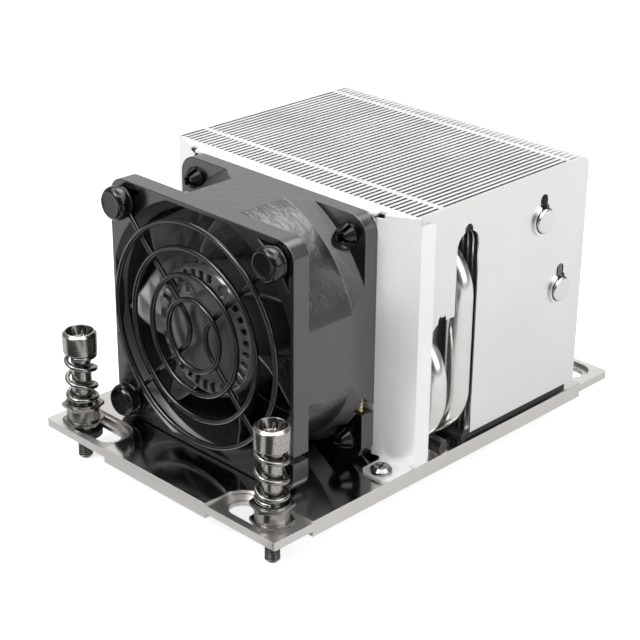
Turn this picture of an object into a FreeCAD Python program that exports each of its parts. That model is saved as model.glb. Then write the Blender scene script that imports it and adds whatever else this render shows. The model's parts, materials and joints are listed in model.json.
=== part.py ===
import FreeCAD, Part
import math
import os

# Active processor cooler for a 2U server: copper base plate, soldered fin pack on four
# heat pipes, sheet-metal air duct, 60 mm fan with finger guard, four captive spring screws.
# Millimetres. Z = 0 is the plate's contact face, +Z up, the air runs along +Y, and the
# origin is the middle of the plate.

V = FreeCAD.Vector
X_AXIS = V(1, 0, 0)
Y_AXIS = V(0, 1, 0)
Z_AXIS = V(0, 0, 1)
ORIGIN = V(0, 0, 0)

# base plate
PLATE_W = 79.2
PLATE_L = 118.0
PLATE_T = 3.8
PLATE_CORNER_R = 0.8
EAR_W = 22.0            # ear width along X
EAR_L = 11.5            # ear length along Y
EAR_T = 2.0
EAR_UNDER = 1.3         # underside of an ear above the contact face
EAR_CORNER_R = 5.5
EAR_TOP = EAR_UNDER + EAR_T
EAR_X = PLATE_W / 2 - EAR_W

# screw slots in the ears: a seat on top and a narrower slot through
SLOT_FROM_END = 6.0     # slot centre line to the plate's end
SLOT_FROM_SIDE = 6.9    # slot's outer centre to the plate's side
SLOT_RUN = 9.6          # between the centres of a slot's ends
SLOT_SEAT_R = 4.5
SLOT_SEAT_DEPTH = 1.0
SLOT_R = 2.95
SLOT_Y = PLATE_L / 2 - SLOT_FROM_END
SLOT_OUTER_X = PLATE_W / 2 - SLOT_FROM_SIDE
SLOT_INNER_X = SLOT_OUTER_X - SLOT_RUN

# fan housing
FAN_SIZE = 60.0
FAN_DEPTH = 25.4
FAN_FROM_END = 15.0     # plate's front end to the fan
FAN_GAP = 0.3           # fan above the plate
FAN_CORNER_R = 4.5
FAN_HOLE_INSET = 5.0
FAN_HOLE_R = 2.15
FAN_RIM = 1.4           # between the bore and the housing's sides
BARREL_WALL = 2.6
FRONT_FLANGE = 4.6
REAR_FLANGE = 3.8
FLARE_RISE = 2.0        # barrel's swell into the rear flange
FLARE_LEN = 3.6
FAN_HOLE_PITCH = FAN_SIZE - 2 * FAN_HOLE_INSET
FAN_BORE_R = FAN_SIZE / 2 - FAN_RIM
BARREL_R = FAN_BORE_R + BARREL_WALL
FAN_Z = PLATE_T + FAN_GAP + FAN_SIZE / 2
FAN_FRONT_Y = FAN_FROM_END - PLATE_L / 2
FAN_REAR_Y = FAN_FRONT_Y + FAN_DEPTH

# fin pack
FIN_COUNT = 52
FIN_T = 0.4
FIN_LIP = 0.85          # folded top lip, web included
FIN_FROM_FAN = 3.6
FIN_FROM_END = 13.9     # fins to the plate's rear end
FIN_FROM_SIDE = 0.7     # fins to the plate's sides
FIN_OVER_FAN = 0.6      # fins' top above the fan's
FIN_REAR_CORNER_R = 2.6
FIN_FRONT_Y = FAN_REAR_Y + FIN_FROM_FAN
FIN_REAR_Y = PLATE_L / 2 - FIN_FROM_END
FIN_DEPTH = FIN_REAR_Y - FIN_FRONT_Y
FIN_TOP_Z = FAN_Z + FAN_SIZE / 2 + FIN_OVER_FAN
PACK_HALF_W = PLATE_W / 2 - FIN_FROM_SIDE
PACK_MID_Y = FIN_FRONT_Y + FIN_DEPTH / 2
FIN_PITCH = (2 * PACK_HALF_W - FIN_T) / (FIN_COUNT - 1)
TAB_ROWS = (0.12, 0.87)  # rows of interlocking tabs, as fractions of the fin's depth
TAB_LEN = 1.6

# saddle strip layer soldered between the plate and the fins
SADDLE_T = 1.6
SADDLE_INSET = 1.4
FIN_BOTTOM_Z = PLATE_T + SADDLE_T

# heat pipes: two tall and two short, mirrored through the pack's middle
PIPE_R = 3.0
PIPE_FIT = 0.2          # gap between a pipe and the edge of its hole
PIPE_BEND_R = 12.0
PIPE_FROM_SIDE = 1.7    # centre line of the upright run, in from the pack's side
PIPE_FOOT_LIFT = 2.0    # centre line of the foot run above the plate
PIPE_FOOT_SHORT = 7.9   # foot run's closed end, in from the pack's side
PIPE_STUB = 1.3         # closed end standing out of the far end fin
PIPE_DOME_R = 0.5
BURR_R = 3.85           # collar drawn up around a pipe hole of an end fin
BURR_H = 0.5
PIPE_SIDE_X = PACK_HALF_W - PIPE_FROM_SIDE
PIPE_FOOT_Z = PLATE_T + PIPE_FOOT_LIFT
PIPE_FOOT_END_X = PACK_HALF_W - PIPE_FOOT_SHORT
TALL_Z = PIPE_FOOT_Z + 0.7946 * (FIN_TOP_Z - PIPE_FOOT_Z)
SHORT_Z = PIPE_FOOT_Z + 0.4618 * (FIN_TOP_Z - PIPE_FOOT_Z)
TALL_DY = 0.2238 * FIN_DEPTH
SHORT_DY = 0.3561 * FIN_DEPTH
WINDOW_R = 3.75         # half width of the windows around the bends
WINDOW_RISE = 1.0
NIPPLE_W = 2.7          # vent notch over each pipe hole
NIPPLE_RISE = 6.4

# rotor
HUB_R = 0.265 * FAN_SIZE
HUB_WALL = 1.2
HUB_INSET = 1.3         # hub's face behind the fan's front
HUB_LEN = 19.0
BLADE_COUNT = 7
BLADE_TIP_GAP = 0.7
BLADE_T = 1.1
BLADE_INSET = 2.6
BLADE_DEPTH = 17.8
BLADE_PHASE = 83.3      # angle of the first blade's front tip
BLADE_SPAN = 46.0       # turn from front edge to rear edge at the tip, degrees
BLADE_LEAN = 17.0
BLADE_TWIST = 26.0
BLADE_STEPS = 6
BLADE_RINGS = 3
SHAFT_R = 1.5
SHAFT_RUN_FIT = 0.03
BEARING_OUT_R = 4.0
BEARING_LEN = 3.0
TUBE_WALL = 1.0
VENT_GROUPS = 3         # groups of slots in the hub's face
VENTS_PER_GROUP = 8
VENT_STEP = 11.4        # degrees from slot to slot
VENT_PHASE = 1.0
VENT_HALF_W = 0.7
VENT_INNER_R = HUB_R - 3.5
VENT_OUTER_R = HUB_R - HUB_WALL
HUB_FACE_T = 1.6
FACE_RECESS = 0.4
PIN_MARK_R = 1.7        # round pocket between two groups of slots
DIMPLE_R = 1.0
HUB_FRONT_Y = FAN_FRONT_Y + HUB_INSET
BLADE_TIP_R = FAN_BORE_R - BLADE_TIP_GAP
BLADE_START_Y = FAN_FRONT_Y + BLADE_INSET
BLADE_END_Y = BLADE_START_Y + BLADE_DEPTH

# motor
MOTOR_BASE_T = 2.0
STRUT_COUNT = 4
LEAD_ANGLE = -31.4      # direction of the strut that carries the lead
POLE_COUNT = 4
YOKE_T = 0.8
MAGNET_T = 1.3
MAGNET_LEN = 7.5
AIR_GAP = 1.2           # magnets to the iron
STATOR_LEN = 5.0
BOARD_T = 0.8
BOARD_GAP = 2.0
LEAD_WIRE_R = 0.42
LEAD_PITCH = 1.02
MOTOR_BASE_R = HUB_R - 0.6
TUBE_FRONT_Y = HUB_FRONT_Y + 5.0
REAR_BEARING_Y = FAN_REAR_Y - 5.4
STATOR_R = HUB_R - HUB_WALL - YOKE_T - MAGNET_T - AIR_GAP
CORE_R = 0.614 * STATOR_R
STATOR_Y0 = HUB_FRONT_Y + 7.6
STATOR_Y1 = STATOR_Y0 + STATOR_LEN
BOARD_R = STATOR_R + 1.0
BOARD_Y = STATOR_Y1 + BOARD_GAP
LEAD_NOTCH_Z = -0.2567 * FAN_SIZE  # middle of the frame's lead notch, from the fan's axis

# shroud
SHEET_T = 0.6
BAND_LEN = 4.8          # side band lapping the fin pack
FOOT_LEN = 8.9
FOOT_W = 8.0
FOOT_SCREW_R = 1.25
FOOT_SCREW_HEAD_R = 2.5
FOOT_SCREW_LEN = 2.8
FOOT_SCREW_HEAD_H = 1.5
FOOT_AHEAD = 5.8        # foot's front end ahead of the fan's rear face
FOOT_SCREW_AHEAD = 3.2
FOOT_INNER_X = PLATE_W / 2 - FOOT_W
RELIEF = 1.5            # square cut where two folds meet

# finger guard
GUARD_WIRE_R = 0.65
GUARD_RINGS = [FAN_BORE_R * part for part in (0.9266, 0.7133, 0.4965, 0.2972)]
GUARD_APEX_R = 6.3
RIVET_HEAD_R = 4.05
RIVET_HEAD_H = 3.0
REAR_HEAD_R = 3.0
REAR_BUTTON_H = 1.2
BARB_R = 2.8            # prongs of a rear rivet
BARB_LEN = 2.6
BARB_BORE_R = 0.9
BARB_TURN = 20
EYE_Y = FAN_FRONT_Y - GUARD_WIRE_R
RING_Y = FAN_FRONT_Y - 3 * GUARD_WIRE_R + 0.1
EYE_R = FAN_HOLE_R + GUARD_WIRE_R + 0.25

# captive screws
SCREW_HEAD_R = 4.1
SCREW_HEAD_H = 5.5
SCREW_TOP_Z = 26.9
SHANK_R = 2.4
THREAD_R = 1.75
SCREW_TIP_Z = -6.6
BUSH_HEX_R = 5.05       # across corners, as a radius
BUSH_HEX_T = 0.8
BUSH_COLLAR_R = 4.0
BUSH_COLLAR_H = 3.2
BUSH_LIP_H = 0.4
BUSH_NECK_R = 2.9
BUSH_BORE_R = SHANK_R + 0.1
RING_R = 4.4
RING_T = 1.5
RING_UNDER = 0.3        # bush neck below the ring
CLIP_R = 2.8
CLIP_T = 0.5
SHANK_UNDER_CLIP = 0.7  # plain shank that keeps the clip in its groove
SPRING_R = 3.4
SPRING_WIRE_R = 0.58
SPRING_CLOSED_TURNS = 1.0
SPRING_OPEN_TURNS = 2.3
SPRING_STEPS = 14       # sections per turn

BUSH_TOP_Z = EAR_TOP + 2 * BUSH_HEX_T + BUSH_COLLAR_H + BUSH_LIP_H
RING_BOTTOM_Z = EAR_UNDER - RING_T
NECK_BOTTOM_Z = RING_BOTTOM_Z - RING_UNDER

# the front pair stands at the slots' outer ends, the rear pair at their inner ends
SCREWS = {
    "front_right": V(SLOT_OUTER_X, -SLOT_Y, 0),
    "front_left": V(-SLOT_OUTER_X, -SLOT_Y, 0),
    "rear_right": V(SLOT_INNER_X, SLOT_Y, 0),
    "rear_left": V(-SLOT_INNER_X, SLOT_Y, 0),
}
HEX_TURNS = {"front_right": 40, "front_left": 53, "rear_right": 12, "rear_left": 25}
SPRING_TURNS = {"front_right": -48, "front_left": 224, "rear_right": 130, "rear_left": 20}


def export(name, *solids):
    shape = solids[0] if len(solids) == 1 else Part.makeCompound(list(solids))
    shape.exportStep("parts/%s.step" % name)


def box(x0, x1, y0, y1, z0, z1):
    return Part.makeBox(x1 - x0, y1 - y0, z1 - z0, V(x0, y0, z0))


def rod(radius, start, axis, length):
    return Part.makeCylinder(radius, length, start, axis)


def tube(outer, inner, start, axis, length):
    return rod(outer, start, axis, length).cut(rod(inner, start - axis, axis, length + 2))


def turned(points, centre, axis):
    """Solid of revolution from (radius, height) points, closed back to the first."""
    profile = Part.makePolygon([V(r, 0, h) for r, h in points + points[:1]])
    solid = Part.Face(profile).revolve(ORIGIN, Z_AXIS, 360)
    solid.Placement = FreeCAD.Placement(centre, FreeCAD.Rotation(Z_AXIS, axis))
    return solid


def slab(points, normal, length):
    """Flat outline, given as 3-D points, pushed along the normal."""
    return Part.Face(Part.makePolygon(points + points[:1])).extrude(normal * length)


def stadium(x0, x1, y, radius, z0, z1):
    body = box(x0, x1, y - radius, y + radius, z0, z1)
    for x in (x0, x1):
        body = body.fuse(rod(radius, V(x, y, z0), Z_AXIS, z1 - z0))
    return body.removeSplitter()


def round_edges(solid, radius, wanted):
    return solid.makeFillet(radius, [e for e in solid.Edges if wanted(e)])


def is_along(edge, axis):
    if not isinstance(edge.Curve, Part.Line):
        return False
    return abs(edge.tangentAt(edge.FirstParameter).dot(axis)) > 0.999


def square_frame(y, length, radius=FAN_CORNER_R):
    """60 mm fan outline with round corners, from y rearward."""
    half = FAN_SIZE / 2
    body = box(-half, half, y, y + length, FAN_Z - half, FAN_Z + half)
    return round_edges(body, radius, lambda e: is_along(e, Y_AXIS))


def fan_corners():
    reach = FAN_HOLE_PITCH / 2
    return [V(sx * reach, 0, FAN_Z + sz * reach) for sx in (-1, 1) for sz in (-1, 1)]


def half_turned(solid):
    """Copy of the solid turned 180 degrees about the pack's upright middle line."""
    copy = solid.copy()
    copy.rotate(V(0, PACK_MID_Y, 0), Z_AXIS, 180)
    return copy


# ---- base plate -------------------------------------------------------------------------

def ear_pocket(sx, sy, z0, z1):
    """Room taken from one corner of the plate, above or below its ear."""
    end = PLATE_L / 2
    pocket = box(EAR_X, PLATE_W / 2 + 5, end - EAR_L, end + 5, z0, z1)
    corner = V(EAR_X, end - EAR_L, 0)
    pocket = round_edges(
        pocket, EAR_CORNER_R,
        lambda e: is_along(e, Z_AXIS) and abs(e.CenterOfMass.x - corner.x) < 0.01
        and abs(e.CenterOfMass.y - corner.y) < 0.01)
    if sx < 0:
        pocket = pocket.mirror(ORIGIN, X_AXIS)
    if sy < 0:
        pocket = pocket.mirror(ORIGIN, Y_AXIS)
    return pocket


def pipe_path(z, dy):
    """Centre line of a right-hand pipe: foot run, bend, upright, bend, top run."""
    y = PACK_MID_Y - dy
    inner = PIPE_SIDE_X - PIPE_BEND_R
    diag = PIPE_BEND_R * math.sqrt(0.5)
    low = PIPE_FOOT_Z + PIPE_BEND_R
    high = z - PIPE_BEND_R
    end_x = -(PACK_HALF_W + PIPE_STUB)
    lower = Part.Arc(V(inner, y, PIPE_FOOT_Z), V(inner + diag, y, low - diag), V(PIPE_SIDE_X, y, low))
    upper = Part.Arc(V(PIPE_SIDE_X, y, high), V(inner + diag, y, high + diag), V(inner, y, z))
    return Part.Wire([
        Part.makeLine(V(-PIPE_FOOT_END_X, y, PIPE_FOOT_Z), V(inner, y, PIPE_FOOT_Z)),
        lower.toShape(),
        Part.makeLine(V(PIPE_SIDE_X, y, low), V(PIPE_SIDE_X, y, high)),
        upper.toShape(),
        Part.makeLine(V(inner, y, z), V(end_x, y, z)),
    ])


def pipe_groove(dy, end_x):
    """Cutter for the groove a right-hand pipe's foot run lies in."""
    start_x = PIPE_FOOT_END_X + 0.5
    start = V(-start_x, PACK_MID_Y - dy, PIPE_FOOT_Z)
    return rod(PIPE_R + PIPE_FIT / 4, start, X_AXIS, start_x + end_x)


def all_grooves(end_x):
    right = [pipe_groove(dy, end_x) for dy in (TALL_DY, SHORT_DY)]
    return right + [half_turned(g) for g in right]


def foot_screw_places():
    x = (FOOT_INNER_X + PLATE_W / 2) / 2 + 0.1
    return [V(sx * x, FAN_REAR_Y - FOOT_SCREW_AHEAD, PLATE_T) for sx in (-1, 1)]


def base_plate():
    half_w = PLATE_W / 2
    half_l = PLATE_L / 2
    plate = box(-half_w, half_w, -half_l, half_l, 0, PLATE_T)
    plate = round_edges(plate, PLATE_CORNER_R, lambda e: is_along(e, Z_AXIS))
    for sx in (-1, 1):
        for sy in (-1, 1):
            plate = plate.cut(ear_pocket(sx, sy, EAR_TOP, PLATE_T + 1))
            plate = plate.cut(ear_pocket(sx, sy, -1, EAR_UNDER))
            x0, x1 = sorted((sx * SLOT_INNER_X, sx * SLOT_OUTER_X))
            plate = plate.cut(stadium(x0, x1, sy * SLOT_Y, SLOT_SEAT_R, EAR_TOP - SLOT_SEAT_DEPTH, PLATE_T))
            plate = plate.cut(stadium(x0, x1, sy * SLOT_Y, SLOT_R, -1, PLATE_T))
    for groove in all_grooves(PIPE_FOOT_END_X + 0.5):
        plate = plate.cut(groove)
    for place in foot_screw_places():
        depth = FOOT_SCREW_LEN + 0.4
        plate = plate.cut(rod(FOOT_SCREW_R, place - Z_AXIS * depth, Z_AXIS, depth + 2))
    return plate


def pipe_saddle():
    half = PACK_HALF_W - SADDLE_INSET
    y0 = FIN_FRONT_Y + SADDLE_INSET
    y1 = FIN_REAR_Y - SADDLE_INSET
    saddle = box(-half, half, y0, y1, PLATE_T, FIN_BOTTOM_Z)
    for groove in all_grooves(PACK_HALF_W):
        saddle = saddle.cut(groove)
    return saddle


# ---- heat pipes -------------------------------------------------------------------------

def heat_pipe(z, dy):
    """Round copper tube with a domed cap at each end."""
    path = pipe_path(z, dy)
    start = path.OrderedVertexes[0].Point
    section = Part.Wire(Part.makeCircle(PIPE_R, start, X_AXIS))
    body = path.makePipeShell([section], True, False)
    ends = (-PIPE_FOOT_END_X, -(PACK_HALF_W + PIPE_STUB))
    return round_edges(
        body, PIPE_DOME_R,
        lambda e: any(abs(e.BoundBox.XMin - x) < 0.01 and e.BoundBox.XLength < 0.01 for x in ends))


# ---- fin pack ---------------------------------------------------------------------------

def fin_blank(with_lip):
    """One fin at x = 0..-FIN_T, folded toward -X along its top edge."""
    web = box(-FIN_T, 0, FIN_FRONT_Y, FIN_REAR_Y, FIN_BOTTOM_Z, FIN_TOP_Z)
    web = round_edges(
        web, FIN_REAR_CORNER_R,
        lambda e: is_along(e, X_AXIS) and e.CenterOfMass.y > FIN_REAR_Y - 0.1
        and e.CenterOfMass.z > FIN_TOP_Z - 0.1)
    if not with_lip:
        return web
    top = FIN_TOP_Z - FIN_T
    lip = box(-FIN_LIP, -FIN_T / 2, FIN_FRONT_Y, FIN_REAR_Y - FIN_REAR_CORNER_R, top, FIN_TOP_Z)
    for row in TAB_ROWS:
        y = FIN_FRONT_Y + row * FIN_DEPTH
        lip = lip.fuse(box(-FIN_PITCH, -FIN_T / 2, y, y + TAB_LEN, top, FIN_TOP_Z))
    return web.fuse(lip).removeSplitter()


def keyhole(y, z):
    """Cutter for a pipe hole with its vent notch above."""
    reach = PIPE_R + PIPE_FIT
    hole = rod(reach, V(-2, y, z), X_AXIS, 4)
    top = z + NIPPLE_RISE - NIPPLE_W / 2
    hole = hole.fuse(box(-2, 2, y - NIPPLE_W / 2, y + NIPPLE_W / 2, z, top))
    return hole.fuse(rod(NIPPLE_W / 2, V(-2, y, top), X_AXIS, 4)).removeSplitter()


def upright_slot(y, z0, z1, radius):
    """Cutter with a round top at z1, square at z0."""
    slot = box(-2, 2, y - radius, y + radius, z0, z1 - radius)
    return slot.fuse(rod(radius, V(-2, y, z1 - radius), X_AXIS, 4)).removeSplitter()


def side_cutters(along, side):
    """Cutters for a fin that the bends cross, its outer face this far past where they begin.

    side is +1 for the right-hand pipes' bends and -1 for the left-hand ones."""
    low = FIN_BOTTOM_Z - 1
    reach = PIPE_R + PIPE_FIT
    outer = math.sqrt((PIPE_BEND_R + reach) ** 2 - max(along - FIN_T, 0) ** 2)
    inner = math.sqrt(max((PIPE_BEND_R - reach) ** 2 - along ** 2, 0))
    whole = along > PIPE_BEND_R - reach
    cutters = []
    for z, dy in ((TALL_Z, TALL_DY), (SHORT_Z, SHORT_DY)):
        y = PACK_MID_Y - side * dy
        if whole:
            cutters.append(upright_slot(y, low, z + WINDOW_RISE + WINDOW_R, WINDOW_R))
            cutters.append(keyhole(y, z))
            continue
        high = z - PIPE_BEND_R
        window = upright_slot(y, high + inner, high + outer, reach)
        cutters.append(window.fuse(rod(reach, V(-2, y, high + max(inner, reach)), X_AXIS, 4)))
        cutters.append(upright_slot(y, low, PIPE_FOOT_Z + PIPE_BEND_R - inner, reach))
    if whole:
        y0, y1 = sorted((PACK_MID_Y - side * SHORT_DY, PACK_MID_Y - side * TALL_DY))
        cutters.append(box(-2, 2, y0, y1, low, SHORT_Z + WINDOW_RISE + WINDOW_R))
    return cutters


def far_cutters(side, feet):
    """Cutters for the straight runs of the pipes whose bends are on the given side."""
    cutters = []
    for z, dy in ((TALL_Z, TALL_DY), (SHORT_Z, SHORT_DY)):
        y = PACK_MID_Y - side * dy
        cutters.append(keyhole(y, z))
        if feet:
            cutters.append(rod(PIPE_R + PIPE_FIT, V(-2, y, PIPE_FOOT_Z), X_AXIS, 4))
    return cutters


def bend_overlap(x, side):
    """How far the outer face of a fin whose right face is at x lies past the bends' start."""
    outer = x if side > 0 else FIN_T - x
    return outer - (PIPE_SIDE_X - PIPE_BEND_R)


def cut_fin(x, with_lip):
    """A fin with its right face at x, opened for every pipe run that crosses it."""
    fin = fin_blank(with_lip)
    for side in (1, -1):
        along = bend_overlap(x, side)
        feet = side * x > -(PIPE_FOOT_END_X + PIPE_R)
        for cutter in side_cutters(along, side) if along > 0 else far_cutters(side, feet):
            fin = fin.cut(cutter)
    fin.translate(V(x, 0, 0))
    return fin


def with_burrs(fin, x, side):
    """End fin whose outer face is at x, with a collar around each pipe end that leaves it."""
    for z, dy in ((TALL_Z, TALL_DY), (SHORT_Z, SHORT_DY)):
        y = PACK_MID_Y + side * dy
        root = V(x - side * FIN_T / 2, y, z)
        burr = tube(BURR_R, PIPE_R + PIPE_FIT, root, X_AXIS * side, FIN_T / 2 + BURR_H)
        notch = keyhole(y, z)
        notch.translate(V(x, 0, 0))
        fin = fin.fuse(burr.cut(notch))
    return fin.removeSplitter()


def fin_pack():
    """Fins by group: right end, right, middle, left, left end."""
    groups = {"right": [], "middle": [], "left": []}
    pattern = None
    for i in range(1, FIN_COUNT - 1):
        x = PACK_HALF_W - i * FIN_PITCH
        if bend_overlap(x, 1) > 0:
            groups["right"].append(cut_fin(x, True))
        elif bend_overlap(x, -1) > 0:
            groups["left"].append(cut_fin(x, True))
        else:
            if pattern is None:
                pattern = cut_fin(x, True)
                first_x = x
            fin = pattern.copy()
            fin.translate(V(x - first_x, 0, 0))
            groups["middle"].append(fin)
    groups["right_end"] = [with_burrs(cut_fin(PACK_HALF_W, True), PACK_HALF_W, 1)]
    groups["left_end"] = [with_burrs(cut_fin(-PACK_HALF_W + FIN_T, False), -PACK_HALF_W, -1)]
    return groups


# ---- shroud -----------------------------------------------------------------------------

def flare(inset):
    """Solid frustum from the fan's outline to the fin pack's face."""
    fan_w = FAN_SIZE / 2 - inset
    pack_w = PACK_HALF_W + SHEET_T - inset
    low = PLATE_T - inset
    return Part.makeWedge(-fan_w, FAN_REAR_Y, low, low, -pack_w,
                          fan_w, FIN_FRONT_Y, FAN_Z + fan_w, FIN_TOP_Z - inset, pack_w)


def shroud():
    """Folded sheet: fan plate, flared sides and top, side bands, two screwed feet."""
    half = FAN_SIZE / 2
    body = flare(0).cut(flare(SHEET_T))
    plate = square_frame(FAN_REAR_Y, SHEET_T, FAN_CORNER_R)
    plate = plate.cut(rod(FAN_BORE_R, V(0, FAN_REAR_Y - 1, FAN_Z), Y_AXIS, 3))
    body = body.fuse(plate)
    outer = PACK_HALF_W + SHEET_T
    foot_y = FAN_REAR_Y - FOOT_AHEAD
    for sx in (-1, 1):
        x0, x1 = sorted((sx * PACK_HALF_W, sx * outer))
        band = box(x0, x1, FIN_FRONT_Y, FIN_FRONT_Y + BAND_LEN, PLATE_T, FIN_TOP_Z - 1.8)
        band = round_edges(
            band, 1.5,
            lambda e: is_along(e, X_AXIS) and e.CenterOfMass.z > FIN_TOP_Z / 2
            and e.CenterOfMass.y > FIN_FRONT_Y + 1)
        body = body.fuse(band)
        f0, f1 = sorted((sx * FOOT_INNER_X, sx * outer))
        foot = box(f0, f1, foot_y, foot_y + FOOT_LEN, PLATE_T, PLATE_T + SHEET_T)
        foot = round_edges(
            foot, 1.5,
            lambda e: is_along(e, Z_AXIS) and e.CenterOfMass.y < foot_y + 0.1)
        body = body.fuse(foot)
    for corner in fan_corners():
        body = body.cut(rod(FAN_HOLE_R, V(corner.x, FAN_REAR_Y - 1, corner.z), Y_AXIS, 3))
    for place in foot_screw_places():
        body = body.cut(rod(FOOT_SCREW_R + 0.1, place - Z_AXIS, Z_AXIS, 3))
    for sx in (-1, 1):
        x0, x1 = sorted((sx * (half - 0.6), sx * (half + RELIEF)))
        for z in (PLATE_T + RELIEF / 2, FAN_Z + half):
            cut = box(x0, x1, FAN_REAR_Y - 0.1, FAN_REAR_Y + RELIEF, z - RELIEF / 2, z + RELIEF / 2)
            body = body.cut(cut)
    return body.removeSplitter()


def foot_screw(place):
    """Pan head with a cross recess, its shank cut to the plate's hole."""
    shank = FOOT_SCREW_R - 0.05
    r = FOOT_SCREW_HEAD_R
    brim = SHEET_T + 0.53 * FOOT_SCREW_HEAD_H
    crown = SHEET_T + FOOT_SCREW_HEAD_H
    screw = turned([(0, -FOOT_SCREW_LEN), (shank, -FOOT_SCREW_LEN), (shank, SHEET_T),
                    (r, SHEET_T), (r, brim), (0.72 * r, crown), (0, crown)],
                   V(place.x, place.y, PLATE_T), Z_AXIS)
    for turn in (0, 90):
        arm = box(-0.52 * r, 0.52 * r, -0.1 * r, 0.1 * r, PLATE_T + brim - 0.1, PLATE_T + crown + 1)
        arm.rotate(ORIGIN, Z_AXIS, turn + 20)
        arm.translate(V(place.x, place.y, 0))
        screw = screw.cut(arm)
    return screw


# ---- fan --------------------------------------------------------------------------------

def along_y(radius, y0, y1):
    return rod(radius, V(0, y0, FAN_Z), Y_AXIS, y1 - y0)


def fan_frame():
    """Housing: two flanges on a barrel, corner pockets, rear struts and the bearing tube."""
    half = FAN_SIZE / 2
    front_end = FAN_FRONT_Y + FRONT_FLANGE
    rear_start = FAN_REAR_Y - REAR_FLANGE
    outline = square_frame(FAN_FRONT_Y, FAN_DEPTH)
    barrel = along_y(BARREL_R, FAN_FRONT_Y + 1, FAN_REAR_Y - 1).common(outline)
    flare_start = V(0, rear_start + 0.1 - FLARE_LEN, FAN_Z)
    flare_cone = Part.makeCone(BARREL_R, BARREL_R + FLARE_RISE, FLARE_LEN, flare_start, Y_AXIS)
    body = barrel.fuse(square_frame(FAN_FRONT_Y, FRONT_FLANGE))
    body = body.fuse(square_frame(rear_start, REAR_FLANGE))
    body = body.fuse(flare_cone.common(outline))
    body = body.cut(along_y(FAN_BORE_R, FAN_FRONT_Y - 1, FAN_REAR_Y + 1))
    mouth = Part.makeCone(FAN_BORE_R + 2.2, FAN_BORE_R, 2.6, V(0, FAN_FRONT_Y, FAN_Z), Y_AXIS)
    body = body.cut(mouth.common(outline_inset(1.0)))
    for corner in fan_corners():
        body = body.cut(rod(FAN_HOLE_R, V(corner.x, FAN_FRONT_Y - 1, corner.z), Y_AXIS, FAN_DEPTH + 2))
        for pocket in corner_pockets(corner):
            body = body.cut(pocket)
        body = body.cut(rod(REAR_HEAD_R + 0.6, V(corner.x, rear_start - 7, corner.z), Y_AXIS, 7))
    notch_low = FAN_Z - 0.362 * FAN_SIZE
    notch_high = FAN_Z - 0.332 * FAN_SIZE
    body = body.cut(box(half - 3.2, half + 1, FAN_FRONT_Y - 1, front_end + 0.1, notch_low, notch_high))
    body = body.cut(lead_notch())
    return body.fuse(motor_mount()).removeSplitter()


def lead_notch():
    """Tapered notch in the rear flange's right side, and the channel into it from the bore."""
    side = FAN_SIZE / 2 - 4.2
    front = FAN_REAR_Y - REAR_FLANGE - 0.1
    strut_front = FAN_REAR_Y - MOTOR_BASE_T - 0.6
    points = [V(side, front, FAN_Z - 12.8), V(side, FAN_REAR_Y + 0.1, FAN_Z - 16.0),
              V(side, FAN_REAR_Y + 0.1, FAN_Z - 17.7), V(side, front, FAN_Z - 17.4)]
    channel = box(side - 5, side + 2.6, front - 0.5, strut_front, FAN_Z + LEAD_NOTCH_Z - 2.0,
                  FAN_Z + LEAD_NOTCH_Z + 2.8)
    return slab(points, X_AXIS, 6).fuse(channel)


def outline_inset(inset):
    half = FAN_SIZE / 2 - inset
    return box(-half, half, FAN_FRONT_Y - 1, FAN_REAR_Y + 1, FAN_Z - half, FAN_Z + half)


def corner_pockets(corner):
    """Two triangular pockets in the front flange beside a corner hole."""
    sx = math.copysign(1, corner.x)
    sz = math.copysign(1, corner.z)
    near = FAN_SIZE / 2 - 1.5
    pockets = []
    for swap in (False, True):
        points = []
        for a, b in ((near - 3.2, near), (near - 9.5, near), (near - 4.4, near - 3.2)):
            if swap:
                a, b = b, a
            points.append(V(sx * a, FAN_FRONT_Y - 0.1, FAN_Z + sz * b))
        pockets.append(slab(points, Y_AXIS, 3.2))
    return pockets


def motor_mount():
    """Rear disc on struts, carrying the bearing tube."""
    y0 = FAN_REAR_Y - MOTOR_BASE_T
    mount = along_y(MOTOR_BASE_R, y0, FAN_REAR_Y)
    for i in range(STRUT_COUNT):
        strut = box(MOTOR_BASE_R - 1.5, FAN_BORE_R + 0.6, y0 - 0.6, FAN_REAR_Y - 0.4, -1.1, 1.1)
        strut.rotate(ORIGIN, Y_AXIS, -LEAD_ANGLE + 360 / STRUT_COUNT * i)
        strut.translate(V(0, 0, FAN_Z))
        mount = mount.fuse(strut)
    inner = BEARING_OUT_R
    mount = mount.fuse(along_y(inner + TUBE_WALL, TUBE_FRONT_Y, y0 + 0.5))
    mount = mount.cut(along_y(inner, TUBE_FRONT_Y - 1, TUBE_FRONT_Y + BEARING_LEN))
    mount = mount.cut(along_y(inner - 0.6, TUBE_FRONT_Y - 1, REAR_BEARING_Y + 0.1))
    mount = mount.cut(along_y(inner, REAR_BEARING_Y, FAN_REAR_Y - 0.6))
    return mount


def bearing(y):
    """Shielded ball bearing drawn as one ring."""
    ring = along_y(BEARING_OUT_R, y, y + BEARING_LEN)
    return ring.cut(along_y(SHAFT_R + SHAFT_RUN_FIT, y - 1, y + BEARING_LEN + 1))


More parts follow.
